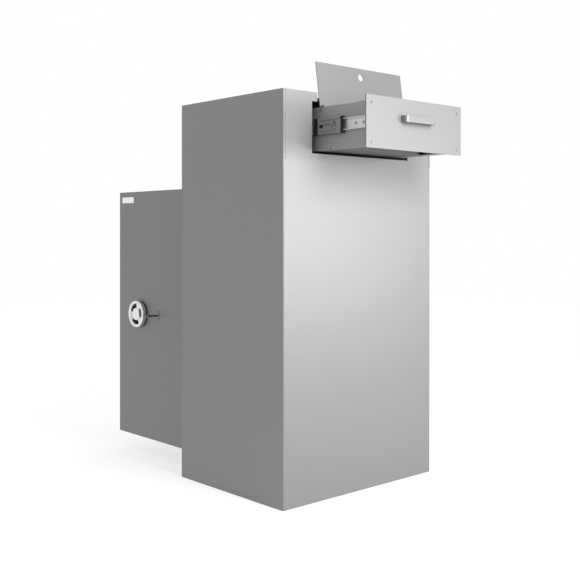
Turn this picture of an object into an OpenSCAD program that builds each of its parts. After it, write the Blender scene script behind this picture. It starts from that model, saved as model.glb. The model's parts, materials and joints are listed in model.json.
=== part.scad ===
// Drop safe with a deposit drawer at the top front and a locked door at the back.
// Millimetres, +Z up. The origin is the centre of the base. The drawer faces -Y, the door faces +Y.
// The drawer, its slides and the door are drawn shut and set to the open rest pose by their pose modules.

/* [Body] */
// Outside width of the body
body_w = 540; // [500:1:640]
// Outside depth of the body
body_d = 412; // [380:1:520]
// Outside height of the body
body_h = 1000; // [950:1:1200]
// Thickness of the body plates
wall_t = 6; // [4:0.5:8]
// Thickness of the shelf under the drawer bay
shelf_t = 4; // [3:0.5:6]
// Spacing of the anchor holes across the base
anchor_x = 400; // [300:1:420]
// Spacing of the anchor holes front to back
anchor_y = 280; // [220:1:300]
// Diameter of the anchor holes
anchor_d = 14; // [8:0.5:18]
// Length of the weld seam down the front edges, from the top
seam_len = 165; // [100:1:250]
// Radius of the front edges below the seam
edge_r = 3; // [1:0.5:4]

/* [Drawer opening] */
// Width of the opening in the front
open_w = 352; // [340:1:380]
// Height of the opening in the front
open_h = 126.5; // [124:0.5:136]
// Height of the strip above the opening
head_h = 22.5; // [18:0.5:30]
// Radius of the corners of the lid pocket in the top
pocket_r = 4; // [2:0.5:5]

/* [Drawer] */
// How far the drawer comes out
travel = 178.5; // [168:0.5:182]
// Gap at each side of the drawer panel
panel_gap = 1.4; // [0.8:0.1:3]
// Gap over the drawer panel
panel_over = 1.5; // [0.8:0.1:3]
// Gap under the drawer panel
panel_under = 2.5; // [0.8:0.1:4]
// Thickness of the drawer panel
panel_t = 4; // [3:0.5:5]
// Gap between each slide and the side of the opening
slide_room = 5; // [4:0.5:9]
// Height left open over the sides of the drawer box
box_over = 14.5; // [12:0.5:18]
// Height of the underside of the box over the opening's lower edge
box_lift = 6.5; // [4:0.5:8]
// Length of the sides behind the box front
side_len = 206.5; // [200:0.5:212]
// Thickness of the sheet of the drawer box
sheet_t = 1.5; // [1:0.1:2]
// Thickness of the box front, which the panel is screwed to
box_front_t = 3; // [2:0.5:4]
// Length of the cover strip behind the panel
cover_len = 33; // [24:1:35]
// Distance of the back wall of the box behind the lid pins
back_off = 12; // [11:0.5:20]

/* [Lid] */
// Gap at each side of the lid
lid_gap = 2; // [1.5:0.5:8]
// Length of the lid from its pins to its free edge
lid_len = 124; // [110:0.5:125]
// Thickness of the lid
lid_t = 2; // [1:0.5:3]
// Distance of the lid pins behind the front of the panel
lid_axis_in = 163; // [160:0.5:164]
// Height of the underside of the lid over its pins
lid_drop = 7.2; // [6:0.1:8]
// How far the lid stands open
lid_open = 98; // [80:1:105]
// Diameter of the finger hole
finger_d = 18; // [14:0.5:22]
// Distance of the finger hole from the free edge
finger_in = 24; // [16:0.5:30]
// Diameter of the lid pins
lid_pin_d = 5; // [3:0.5:6]

/* [Trap] */
// Distance of the trap pin behind the front of the panel
trap_axis_in = 129; // [124:0.5:132]
// Gap between the free edge of the trap and the box front
trap_gap = 4; // [3:0.5:20]
// Length of the flush part of the trap
trap_flush = 30; // [20:0.5:40]
// Height that the rest of the trap is set up by
trap_rise = 8.5; // [4:0.5:9]
// Diameter of the trap pin
trap_pin_d = 6; // [4:0.5:6]
// Width of the flange under the left side of the box
flange_left = 15; // [10:0.5:30]
// Width of the flange under the right side of the box
flange_right = 28.5; // [10:0.5:36]

/* [Pull handle] */
// Length of the pull handle
pull_w = 109; // [80:1:160]
// Height of the pull handle
pull_h = 16; // [10:0.5:24]
// How far the pull handle stands out
pull_d = 18.5; // [18:0.5:40]
// Thickness of its strap
pull_t = 5; // [3:0.5:8]
// Outer radius of its corners
pull_r = 9; // [5.5:0.5:12]
// Height of its middle over the lower edge of the panel
pull_up = 74; // [40:0.5:90]

/* [Slides] */
// Length of the outer and inner slide members
slide_len = 200; // [192:1:205]
// Thickness of a slide, from the box to the bracket
slide_t = 13; // [12:0.5:14]
// Height of the outer member
outer_h = 50; // [49:0.5:54]
// Height of the middle member
middle_h = 41.7; // [38:0.1:42]
// Height of the inner member
inner_h = 28; // [24:0.5:28]
// Thickness of the slide sheet
slide_sheet = 1.4; // [1:0.1:1.5]
// Travel of the middle member
middle_travel = 107.5; // [107.5:0.5:112]
// Length of the middle member
middle_len = 190; // [180:1:192]
// Length of the bumper on its front end
bumper_len = 12; // [8:0.5:12]
// Height of the middle of the slides over the underside of the box
slide_up = 56.8; // [50:0.1:60]
// Thickness of the slide brackets
bracket_t = 3; // [2:0.5:4]

/* [Door] */
// Width of the jambs beside the door
jamb_w = 45; // [40:1:70]
// Height of the head over the door
head_z = 217; // [212:1:260]
// Thickness of the door plate
door_t = 12; // [11:0.5:12]
// Height of the sill under the door
sill_h = 48.6; // [40:0.1:60]
// Gap around the door
door_gap = 3; // [2:0.5:5]
// Distance of the hinge pins from the hinge edge
pivot_in = 13; // [11:0.5:16]
// Distance of the hinge pins behind the outer face
pivot_back = 7; // [6:0.5:7.5]
// Diameter of the hinge pins
pivot_d = 7; // [5:0.5:8]
// How far the door stands open
door_open = 90; // [60:1:95]
// Depth of the pan behind the door plate
pan_d = 40; // [36:1:60]
// Margin around the pan
pan_margin = 20; // [16:1:30]

/* [Lock] */
// Height of the knob and the keyhole over the floor
lock_z = 416; // [380:1:450]
// Distance of the knob from the free edge of the door
knob_in = 114; // [110:0.5:118]
// Distance of the keyhole from the free edge of the door
key_in = 201; // [196:0.5:206]
// Diameter of the knob
knob_d = 79; // [60:1:90]
// Height of the knob over the door
knob_h = 18; // [14:0.5:24]
// Diameter of the spindle behind the knob
spindle_d = 12; // [8:0.5:14]
// How far the bolts are thrown
stroke = 22; // [16:0.5:22]
// Diameter of the bolts
bolt_d = 20; // [12:0.5:20]
// Spacing of the bolts
bolt_pitch = 240; // [180:1:260]
// Travel of the lock's own bolt
lock_throw = 8; // [6:0.5:8]
// How far the key stands out of the door
key_out = 45; // [35:0.5:55]
// Width of the blank plate on the door
plate_w = 63; // [40:1:90]
// Height of the blank plate on the door
plate_h = 17.5; // [15:0.5:40]

/* [Hidden] */

$fn = 48;
// overrun of every cut past the face that it leaves
cut = 1;
// small gap between flat faces that move past each other
slip = 0.5;
// radial gap of a pin or a shaft that turns in its hole
fit = 0.05;
// radial gap of a screw in its hole
screw_fit = 0.3;

front_y = -body_d / 2;
rear_y = body_d / 2;
in_x = body_w / 2 - wall_t;
in_front = front_y + wall_t;
in_rear = rear_y - wall_t;
roof_z = body_h - wall_t;
open_top = body_h - head_h;
open_bot = open_top - open_h;
shelf_z = open_bot - shelf_t;

// seam between the front plate and the side plates
seam_w = 0.8;
seam_depth = 1.5;

// the drawer, drawn shut
panel_w = open_w - 2 * panel_gap;
panel_top = open_top - panel_over;
panel_bot = open_bot + panel_under;
panel_back = front_y + panel_t;
box_x = open_w / 2 - slide_room - slide_t;
box_bot = open_bot + box_lift;
box_top = open_top - box_over;
box_y0 = panel_back + box_front_t;
box_y1 = box_y0 + side_len;
back_y = front_y + lid_axis_in + back_off;
// how far the back wall stays under the lid pins
back_low = 13;
// the box front is wider than the box, to take the screws
front_wing = 10;

// screws in the panel, from its edges
screw_in = 17;
screw_down = 18;
screw_up = 12;
screw_d = 4;
screw_head_d = 8;
screw_head_h = 2.2;

// the pull handle and its screws
pull_z = panel_bot + pull_up;
pull_screw_in = 5;
pull_foot = 10;
pull_screw_d = 4;
pull_screw_head = 8;
pull_screw_grip = 6;

// the lid
lid_w = 2 * (box_x - lid_gap);
lid_y = front_y + lid_axis_in;
lid_z = box_top - lid_drop + slip / 2;
lid_back = 4;
ear_t = 2;
ear_len = 12;
ear_low = 6;
lid_head_d = 9;
lid_head_t = 1.5;

// drawer travel at which the k-th look at the lid is taken
lid_looks = 60;
function lid_at(k) = lid_open * (1 - k / lid_looks);
// distance along the lid at which its back passes the underside of the roof
function lid_cross(a) = (roof_z - lid_z - (lid_drop + lid_t) * cos(a)) / sin(a);
// how far behind the front face the lid's back passes there
function lid_behind(k, a) =
    (front_y + lid_axis_in - travel * (1 - k / lid_looks))
    + (lid_drop + lid_t) * sin(a) - lid_cross(a) * cos(a) - front_y;
lid_reaches = [for (k = [1:lid_looks - 1])
    let (a = lid_at(k)) if (lid_cross(a) <= lid_len) lid_behind(k, a)];
pocket_clear = 2;
pocket_d = max(lid_reaches) + pocket_clear;
pocket_x = lid_w / 2 + pocket_clear;

// the trap
trap_y = front_y + trap_axis_in;
trap_len = trap_axis_in - panel_t - box_front_t - trap_gap;
trap_r = trap_pin_d / 2 + sheet_t;
trap_z = box_bot + trap_r;
trap_x0 = -box_x + flange_left + slip * 3;
trap_x1 = box_x - flange_right - slip * 3;
trap_knee = 4;
trap_stop_len = 6;
spring_len = 14;
spring_wire = 1.2;
spring_gap = 0.1;
pin_short = 0.4;
floor_y0 = trap_y + trap_r + slip;

// the slides, from the box outwards
slide_z = box_bot + slide_up;
bracket_x = box_x + slide_t;
bumper_y0 = box_y0 + slip;
middle_y0 = bumper_y0 + bumper_len;
outer_in = 2;
inner_in = 3.5;
outer_y0 = in_front + outer_in;
inner_y0 = box_y0 + inner_in;
outer_web = 1.5;
outer_lip = 2.7;
middle_x = slide_t - outer_web - slip;
middle_lip = 3;
inner_depth = 9;
cage_len = 70;
cage_gap = 0.35;
cage_lip = 3.2;
cage_depth = 7.6;
bracket_back = 8;
bracket_high = 36;
bracket_foot = 22;
slide_screw_d = 4;
slide_screw_head = 7;
slide_screw_head_t = 0.3;
slide_screw_grip = 2.8;
// holes that show in the inner member, from its front end
inner_hole_in = 12;
inner_hole_pitch = 24.7;
inner_holes = [inner_hole_in, inner_hole_in + inner_hole_pitch];
outer_hole_in = 30;
outer_hole_pitch = 100;
outer_holes = [outer_hole_in, outer_hole_in + outer_hole_pitch];
// cut-outs of the middle member, from its front end
window_in = 66;
window_w = 7;
window_h = 5;
lever_in = 14;
lever_w = 7;
lever_h = 18;
slot_len = 26;
slot_h = 1.6;

// the bay and the chute under it
bay_behind = 12;
bay_back_y = box_y1 + bay_behind;
bay_back_t = 3;
chute_t = 2;
chute_room = 6;
chute_y = trap_y + trap_r + chute_room;
chute_x = box_x - chute_room;
chute_drop = 150;
chute_run = 60;
chute_fall = 70;
chute_flange = 18;
comb_down = 120;
comb_top = shelf_z - comb_down;
comb_run = 50;
comb_fall = 40;
comb_pitch = 16;
comb_tooth = 10;
comb_gap = 14;
comb_flange = 16;

// the door, drawn shut, and the gate that it closes
gate_x = in_x - jamb_w;
gate_top = body_h - head_z;
door_x = gate_x - door_gap;
door_z0 = sill_h + door_gap;
door_z1 = gate_top - door_gap;
door_in = rear_y - door_t;
hinge_x = -door_x + pivot_in;
hinge_y = rear_y - pivot_back;
pivot_deep = 26;
pivot_up = 14;
hinge_block_x = 12;
hinge_block_y = 14;
washer_d = 16;
washer_slip = 0.1;
pan_t = 1.5;
pan_x0 = -door_x + pan_margin + pivot_in / 2;
pan_x1 = door_x - pan_margin;
pan_z0 = door_z0 + pan_margin;
pan_z1 = door_z1 - pan_margin;
pan_y0 = door_in - pan_d;
bolt_pass = 1;

// strike bar on the lock side and dog bar on the hinge side
strike_w = 28;
strike_in = 3;
strike_clear = 40;
dog_reach = 12;
dog_over = 20;
dog_t = 8;
dog_len = 560;
dog_gap = 1.5;

// the boltwork
knob_x = door_x - knob_in;
key_x = door_x - key_in;
bolt_y = door_in - bolt_d / 2 - slip * 2;
bar_t = 6;
bar_w = 40;
bar_off = 8;
bar_x0 = knob_x + bar_off;
bar_x1 = bar_x0 + bar_w;
bar_over = 30;
bolt_short = 2;
bolt_end = door_x - bolt_short;
// the crank pin swings this far to each side of straight up
crank_turn = 45;
crank_r = stroke / (2 * sin(crank_turn));
crank_pin_d = 8;
crank_slack = 0.8;
crank_t = 5;
crank_gap = 0.8;
crank_rim = 3;
crank_d = 2 * (crank_r + crank_rim) + crank_pin_d;
crank_y1 = bolt_y + bar_t / 2 + crank_gap + crank_t;
arm_rim = 8;
arm_reach = 22;
arm_x0 = knob_x - crank_r - arm_reach;
arm_z0 = lock_z + crank_r * cos(crank_turn) - crank_pin_d / 2 - arm_rim;
arm_z1 = lock_z + crank_r + crank_pin_d / 2 + arm_rim;
guide_off = 4;
guide_x0 = bar_x1 + stroke + guide_off;
guide_t = 8;
guide_z = 16;
guide_low = 4;

// the lock, and the tail of the bolt bar that passes over it
case_w = 70;
case_h = 100;
case_d = 13;
case_t = 2;
case_low = 46;
case_z0 = lock_z - case_low;
key_bolt_w = 12;
key_bolt_grip = 2;
key_bolt_len = lock_throw + key_bolt_grip;
key_bolt_down = 22;
key_bolt_z = lock_z - key_bolt_down;
notch_slack = 1;
bolt_slack = 0.4;
tail_t = 6;
tail_rim = 12;
tail_x0 = key_x - stroke - key_bolt_w / 2 - tail_rim;
tail_h = key_bolt_w / 2 + notch_slack + tail_rim / 2;

// the key, its hole and the ring round the hole
key_d = 6;
key_pass = 0.4;
bit_w = 20;
bit_t = 2.5;
bit_len = 8;
bow_w = 28;
bow_l = 18;
bow_t = 2.6;
bow_hole_share = 0.55;
ring_d = 30;
ring_t = 1.5;

// the knob
rim_w = 9;
hub_d = 36;
hub_h = 15.5;
hub_cap = 2;
rim_up = 5;
web_t = 5;
web_up = 6.8;
spokes = 3;
spoke_open = 74;
spoke_turn = 35;
bush_d = 20;
bush_t = 2;
plate_t = 1;
plate_in = 16;
plate_down = 15.5;

body_colour = [0.55, 0.56, 0.57];
front_colour = [0.78, 0.79, 0.79];
steel_colour = [0.72, 0.73, 0.74];
chrome_colour = [0.86, 0.87, 0.88];
dark_colour = [0.13, 0.13, 0.14];
white_colour = [0.94, 0.94, 0.93];

// a box between two corners
module block(lo, hi) translate(lo) cube(hi - lo);

// a round bar along X, along Y or along Z
module bar_x(r, x0, x1, y, z) translate([x0, y, z]) rotate([0, 90, 0]) cylinder(r = r, h = x1 - x0);
module bar_y(r, y0, y1, x, z) translate([x, y0, z]) rotate([-90, 0, 0]) cylinder(r = r, h = y1 - y0);
module bar_z(r, z0, z1, x, y) translate([x, y, z0]) cylinder(r = r, h = z1 - z0);

// an outline in Y and Z, swept along X
module sweep_x(x0, x1) translate([x0, 0, 0]) rotate([90, 0, 90]) linear_extrude(height = x1 - x0) children();

// an outline in X and Z, swept along Y
module sweep_y(y0, y1) translate([0, y1, 0]) rotate([90, 0, 0]) linear_extrude(height = y1 - y0) children();

// both sides of the body
module both_sides() {
    children();
    mirror([1, 0, 0]) children();
}

// the rest pose: drawer out, lid and door open
module drawer_pose() translate([0, -travel, 0]) children();
module middle_pose() translate([0, -middle_travel, 0]) children();
module lid_pose() translate([0, lid_y - travel, lid_z]) rotate([-lid_open, 0, 0])
    translate([0, -lid_y, -lid_z]) children();
module door_pose() translate([hinge_x, hinge_y, 0]) rotate(door_open)
    translate([-hinge_x, -hinge_y, 0]) children();

// body plates
module side_plate() {
    seam_z = body_h - seam_len;
    out_x = -body_w / 2;
    block([out_x, front_y + edge_r, 0], [-in_x, rear_y, body_h]);
    block([out_x + edge_r, front_y, 0], [-in_x, front_y + edge_r, seam_z]);
    block([out_x, front_y, seam_z], [-in_x, front_y + edge_r, body_h]);
    intersection() {
        bar_z(edge_r, 0, seam_z, out_x + edge_r, front_y + edge_r);
        block([out_x, front_y, 0], [out_x + edge_r, front_y + edge_r, seam_z]);
    }
}
module side_left() color(body_colour) side_plate();
module side_right() color(body_colour) mirror([1, 0, 0]) side_plate();

// the pocket that lets the lid fold while the drawer goes in, round at its inner corners
module lid_pocket(z0) {
    y1 = front_y + pocket_d;
    block([-pocket_x, front_y - cut, z0], [pocket_x, y1 - pocket_r, body_h + cut]);
    block([-pocket_x + pocket_r, y1 - pocket_r - cut, z0], [pocket_x - pocket_r, y1, body_h + cut]);
    both_sides() bar_z(pocket_r, z0, body_h + cut, pocket_x - pocket_r, y1 - pocket_r);
}
module front_plate() color(front_colour) difference() {
    block([-in_x, front_y, 0], [in_x, in_front, body_h]);
    block([-open_w / 2, front_y - cut, open_bot], [open_w / 2, in_front + cut, open_top]);
    block([-pocket_x, front_y - cut, open_top - cut], [pocket_x, in_front + cut, body_h + cut]);
    both_sides() block([in_x - seam_w, front_y - cut, body_h - seam_len],
        [in_x + cut, front_y + seam_depth, body_h + cut]);
}
module top_plate() color(body_colour) difference() {
    block([-in_x, in_front, roof_z], [in_x, in_rear, body_h]);
    lid_pocket(roof_z - cut);
}
module base_plate() color(body_colour) difference() {
    block([-in_x, in_front, 0], [in_x, in_rear, wall_t]);
    for (x = [-1, 1], y = [-1, 1])
        bar_z(anchor_d / 2, -cut, wall_t + cut, x * anchor_x / 2, y * anchor_y / 2);
}
// hollow for a hinge pin in the edge of the head or the sill
module pin_hollow(z0, z1) bar_z(pivot_d / 2 + screw_fit, z0, z1, hinge_x, hinge_y);
module rear_head() color(body_colour) difference() {
    block([-in_x, in_rear, gate_top], [in_x, rear_y, body_h]);
    pin_hollow(gate_top - cut, gate_top + pivot_up + slip);
}
module rear_sill() color(body_colour) difference() {
    block([-in_x, in_rear, 0], [in_x, rear_y, sill_h]);
    pin_hollow(sill_h - pivot_up - slip, sill_h + cut);
}
module hinge_jamb() color(body_colour) block([-in_x, in_rear, sill_h], [-gate_x, rear_y, gate_top]);
module lock_jamb() color(body_colour) block([gate_x, in_rear, sill_h], [in_x, rear_y, gate_top]);
// flat welded behind the lock jamb, where the bolts bear
module strike_bar() color(steel_colour)
    block([gate_x + strike_in, door_in, sill_h + strike_clear],
        [gate_x + strike_in + strike_w, in_rear, gate_top - strike_clear]);

// drawer bay and deposit chute
module bay_floor() color(body_colour) difference() {
    block([-in_x, in_front, shelf_z], [in_x, in_rear, open_bot]);
    block([trap_x0 - slip * 3, in_front - cut, shelf_z - cut],
        [trap_x1 + slip * 3, chute_y, open_bot + cut]);
}
module bay_back() color(body_colour)
    block([-in_x, bay_back_y, open_bot], [in_x, bay_back_y + bay_back_t, roof_z]);
// plate behind the drop, bent forward at its foot so that nothing can be drawn back up
module chute_rear() color(body_colour) sweep_x(-chute_x, chute_x) polygon([
    [chute_y, shelf_z], [chute_y + chute_flange, shelf_z], [chute_y + chute_flange, shelf_z - chute_t],
    [chute_y + chute_t, shelf_z - chute_t], [chute_y + chute_t, shelf_z - chute_drop],
    [chute_y + chute_t - chute_run, shelf_z - chute_drop - chute_fall],
    [chute_y - chute_run, shelf_z - chute_drop - chute_fall + chute_t / 2],
    [chute_y, shelf_z - chute_drop + chute_t / 2]
]);
// toothed strip on the front wall, under the drop
module chute_comb() color(body_colour) {
    y1 = in_front + comb_run;
    z1 = comb_top - comb_fall;
    teeth = floor(2 * chute_x / comb_pitch);
    difference() {
        sweep_x(-chute_x, chute_x) polygon([
            [in_front, comb_top + comb_flange], [in_front + chute_t, comb_top + comb_flange],
            [in_front + chute_t, comb_top + chute_t], [y1, z1 + chute_t], [y1, z1], [in_front, comb_top]
        ]);
        for (k = [0:teeth - 1]) let (x = (2 * k + 1 - teeth) / 2 * comb_pitch)
            translate([x, y1, z1 - cut]) linear_extrude(height = comb_fall)
                polygon([[-comb_gap / 2, cut], [0, -comb_tooth], [comb_gap / 2, cut]]);
    }
}

// slides, drawn on the right: each member is a channel along Y, x counts outwards from the box
module channel(web_x0, web_x1, lip_x, h, t, y0, y1) sweep_y(y0, y1) {
    translate([web_x0, -h / 2]) square([web_x1 - web_x0, h]);
    for (z = [-h / 2, h / 2 - t])
        translate([min(lip_x, web_x0), z]) square([max(web_x1, lip_x) - min(lip_x, web_x0), t]);
}
module on_right() translate([box_x, 0, slide_z]) children();
module slide_outer() on_right() difference() {
    channel(slide_t - outer_web, slide_t, outer_lip, outer_h, slide_sheet, outer_y0, outer_y0 + slide_len);
    for (d = outer_holes)
        bar_x(slide_screw_d / 2 + screw_fit, slide_t - outer_web - cut, slide_t + cut, outer_y0 + d, 0);
}
module slide_outer_left() color(steel_colour) mirror([1, 0, 0]) slide_outer();
module slide_outer_right() color(steel_colour) slide_outer();
module slide_middle() middle_pose() on_right() difference() {
    channel(middle_x - slide_sheet, middle_x, middle_lip, middle_h, slide_sheet,
        middle_y0, middle_y0 + middle_len);
    block([middle_x - slide_sheet - cut, middle_y0 + window_in, -window_h / 2],
        [middle_x + cut, middle_y0 + window_in + window_w, window_h / 2]);
    block([middle_x - slide_sheet - cut, middle_y0 + lever_in, -lever_h / 2],
        [middle_x + cut, middle_y0 + lever_in + lever_w, -lever_h / 2 + lever_w]);
    block([middle_x - slide_sheet - cut, middle_y0 + lever_in + lever_w + slip * 4, window_h],
        [middle_x + cut, middle_y0 + lever_in + lever_w + slip * 4 + slot_len, window_h + slot_h]);
}
module slide_middle_left() color(steel_colour) mirror([1, 0, 0]) slide_middle();
module slide_middle_right() color(steel_colour) slide_middle();
module slide_inner() drawer_pose() on_right() difference() {
    channel(0, slide_sheet, inner_depth, inner_h, slide_sheet, inner_y0, inner_y0 + slide_len);
    for (d = inner_holes)
        bar_x(slide_screw_d / 2 + screw_fit, -cut, slide_sheet + cut, inner_y0 + d, 0);
}
module slide_inner_left() color(chrome_colour) mirror([1, 0, 0]) slide_inner();
module slide_inner_right() color(chrome_colour) slide_inner();
// strips that hold the balls between the inner and the middle members
module ball_cages() color(steel_colour) both_sides() middle_pose() on_right() {
    z0 = inner_h / 2 + cage_gap;
    z1 = middle_h / 2 - slide_sheet - cage_gap;
    for (z = [z0, -z1])
        block([cage_lip, middle_y0 + slip, z], [cage_depth, middle_y0 + slip + cage_len, z + z1 - z0]);
}
// black end piece round the inner member, on the front end of the middle member
module slide_bumpers() color(dark_colour) both_sides() middle_pose() on_right() difference() {
    block([middle_lip, bumper_y0, -middle_h / 2 + slide_sheet],
        [middle_x + slip / 2, middle_y0, middle_h / 2 - slide_sheet]);
    block([middle_lip - cut, bumper_y0 - cut, -inner_h / 2 - slip],
        [inner_depth + slip, middle_y0 + cut, inner_h / 2 + slip]);
}
module slide_bracket() difference() {
    union() {
        block([bracket_x, outer_y0, open_bot], [bracket_x + bracket_t, box_y1 + bracket_back / 2,
            slide_z + bracket_high]);
        block([bracket_x, outer_y0, open_bot],
            [bracket_x + bracket_t + bracket_foot, box_y1 + bracket_back / 2, open_bot + bracket_t]);
    }
    for (d = outer_holes)
        bar_x(slide_screw_d / 2, bracket_x - cut, bracket_x + bracket_t + cut, outer_y0 + d, slide_z);
}
module slide_bracket_left() color(body_colour) mirror([1, 0, 0]) slide_bracket();
module slide_bracket_right() color(body_colour) slide_bracket();
// a screw along X with its flat head towards the box
module side_screw(x, y, length) {
    bar_x(slide_screw_d / 2, x, x + length, y, slide_z);
    bar_x(slide_screw_head / 2, x - slide_screw_head_t, x, y, slide_z);
}
module bracket_screws() color(steel_colour) both_sides() for (d = outer_holes)
    side_screw(bracket_x - outer_web, outer_y0 + d, outer_web + bracket_t);
module slide_screws() color(steel_colour) both_sides() drawer_pose() for (d = inner_holes)
    translate([2 * box_x, 0, 0]) mirror([1, 0, 0])
        side_screw(box_x - slide_sheet, inner_y0 + d, slide_screw_grip);

// drawer box and panel
module panel_screw_places() for (x = [-1, 1], z = [panel_bot + screw_up, panel_top - screw_down])
    translate([x * (panel_w / 2 - screw_in), 0, z]) children();
module pull_screw_places() for (x = [-1, 1])
    translate([x * (pull_w / 2 - pull_screw_in), 0, pull_z]) children();
module drawer_panel() color(chrome_colour) drawer_pose() difference() {
    block([-panel_w / 2, front_y, panel_bot], [panel_w / 2, panel_back, panel_top]);
    panel_screw_places() {
        bar_y(screw_d / 2 + screw_fit, front_y - cut, panel_back + cut, 0, 0);
        translate([0, front_y, 0]) rotate([-90, 0, 0])
            cylinder(r1 = screw_head_d / 2, r2 = screw_d / 2 + screw_fit, h = screw_head_h);
    }
    pull_screw_places() bar_y(pull_screw_d / 2 + screw_fit, front_y - cut, panel_back + cut, 0, 0);
}
// countersunk screws with a cross recess
module panel_screws() color(chrome_colour) drawer_pose() panel_screw_places() difference() {
    union() {
        translate([0, front_y, 0]) rotate([-90, 0, 0])
            cylinder(r1 = screw_head_d / 2 - screw_fit, r2 = screw_d / 2, h = screw_head_h);
        bar_y(screw_d / 2, front_y, box_y0, 0, 0);
    }
    for (turn = [0, 90]) rotate([0, turn, 0])
        block([-screw_d / 2, front_y - cut, -slip / 2], [screw_d / 2, front_y + screw_head_h / 2, slip / 2]);
}
module drawer_front() color(body_colour) drawer_pose() difference() {
    union() {
        block([-box_x - front_wing, panel_back, box_bot], [box_x + front_wing, box_y0, box_top]);
        block([trap_x0, box_y0, trap_z - trap_r + trap_rise + sheet_t + slip],
            [trap_x1, box_y0 + trap_stop_len, trap_z - trap_r + trap_rise + 2 * sheet_t + slip]);
    }
    panel_screw_places() bar_y(screw_d / 2, panel_back - cut, box_y0 + cut, 0, 0);
    pull_screw_places() bar_y(pull_screw_d / 2 + screw_fit, panel_back - cut, box_y0 + cut, 0, 0);
}
// left side of the box, seen from the front: wall and bottom flange, with the holes of both pins
module box_side(flange) drawer_pose() difference() {
    union() {
        block([-box_x, box_y0, box_bot], [-box_x + sheet_t, box_y1, box_top]);
        block([-box_x, box_y0, box_bot], [-box_x + flange, box_y1, box_bot + sheet_t]);
    }
    bar_x(lid_pin_d / 2 + fit, -box_x - cut, -box_x + sheet_t + cut, lid_y, lid_z);
    bar_x(trap_pin_d / 2, -box_x - cut, -box_x + sheet_t + cut, trap_y, trap_z);
    for (d = inner_holes)
        bar_x(slide_screw_d / 2, -box_x - cut, -box_x + sheet_t + cut, inner_y0 + d, slide_z);
}
module drawer_side_left() color(body_colour) box_side(flange_left);
module drawer_side_right() color(body_colour) mirror([1, 0, 0]) box_side(flange_right);
module drawer_back() color(body_colour) drawer_pose()
    block([-box_x + sheet_t, back_y - sheet_t, box_bot + sheet_t],
        [box_x - sheet_t, back_y, lid_z - back_low + ear_low]);
module drawer_floor() color(body_colour) drawer_pose()
    block([-box_x + flange_left, floor_y0, box_bot], [box_x - flange_right, box_y1, box_bot + sheet_t]);
module drawer_cover() color(body_colour) drawer_pose()
    block([-box_x, panel_back, box_top], [box_x, panel_back + cover_len, box_top + sheet_t]);

// outline of the pull handle in X and Y: a strap with round corners, open at the back
module strap_outline(inset, r) {
    x = pull_w / 2 - inset;
    y0 = front_y - pull_d + inset;
    translate([-x + r, y0]) square([2 * (x - r), pull_d]);
    translate([-x, y0 + r]) square([2 * x, pull_d]);
    for (side = [-1, 1]) translate([side * (x - r), y0 + r]) circle(r);
}
module pull_handle() color(chrome_colour) drawer_pose() difference() {
    translate([0, 0, pull_z - pull_h / 2]) linear_extrude(height = pull_h) difference() {
        strap_outline(0, pull_r);
        translate([-pull_w, front_y]) square([2 * pull_w, pull_d + cut]);
        intersection() {
            strap_outline(pull_t, pull_r - pull_t);
            translate([-pull_w / 2 + pull_foot, front_y - pull_d]) square([pull_w - 2 * pull_foot, pull_d]);
        }
    }
    pull_screw_places() bar_y(pull_screw_d / 2, front_y - pull_screw_grip, front_y + cut, 0, 0);
}
module handle_screws() color(steel_colour) drawer_pose() pull_screw_places() {
    bar_y(pull_screw_d / 2, front_y - pull_screw_grip, box_y0, 0, 0);
    bar_y(pull_screw_head / 2, box_y0, box_y0 + screw_head_h, 0, 0);
}

// lid, drawn shut, with an ear at each side for its pins
module lid() color(steel_colour) lid_pose() difference() {
    union() {
        block([-lid_w / 2, lid_y - lid_len, lid_z + lid_drop],
            [lid_w / 2, lid_y + lid_back, lid_z + lid_drop + lid_t]);
        both_sides() block([lid_w / 2 - ear_t, lid_y - ear_len, lid_z - ear_low],
            [lid_w / 2, lid_y + lid_back, lid_z + lid_drop]);
    }
    hole_y = lid_y - lid_len + finger_in;
    bar_z(finger_d / 2, lid_z + lid_drop - cut, lid_z + lid_drop + lid_t + cut, 0, hole_y);
    both_sides() bar_x(lid_pin_d / 2, lid_w / 2 - ear_t - cut, lid_w / 2 + cut, lid_y, lid_z);
}
module lid_pins() color(chrome_colour) both_sides() lid_pose() {
    bar_x(lid_pin_d / 2, lid_w / 2 - ear_t, box_x + slip / 2, lid_y, lid_z);
    bar_x(lid_head_d / 2, box_x + slip / 2, box_x + slip / 2 + lid_head_t, lid_y, lid_z);
}

// trap in the floor of the drawer, hinged at its rear edge
module trap_door() color(body_colour) drawer_pose() difference() {
    union() {
        bar_x(trap_r, trap_x0 + spring_len, trap_x1 - spring_len, trap_y, trap_z);
        sweep_x(trap_x0, trap_x1) let (
            y1 = trap_y - trap_flush, y2 = y1 - trap_knee, y3 = trap_y - trap_len,
            z0 = box_bot, z1 = box_bot + trap_rise) polygon([
                [trap_y, z0], [trap_y, z0 + sheet_t - slip / 4], [y1 - slip, z0 + sheet_t],
                [y2 - slip, z1 + sheet_t], [y3, z1 + sheet_t], [y3, z1], [y2, z1], [y1, z0]
            ]);
    }
    bar_x(trap_pin_d / 2 + fit, trap_x0 - cut, trap_x1 + cut, trap_y, trap_z);
    for (x0 = [trap_x0 - cut, trap_x1 - spring_len]) block([x0, trap_y - trap_r - slip, box_bot - cut],
        [x0 + spring_len + cut, trap_y + cut, box_bot + sheet_t + cut]);
}
module trap_pin() color(chrome_colour) drawer_pose()
    bar_x(trap_pin_d / 2, -box_x + pin_short, box_x - pin_short, trap_y, trap_z);
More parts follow.
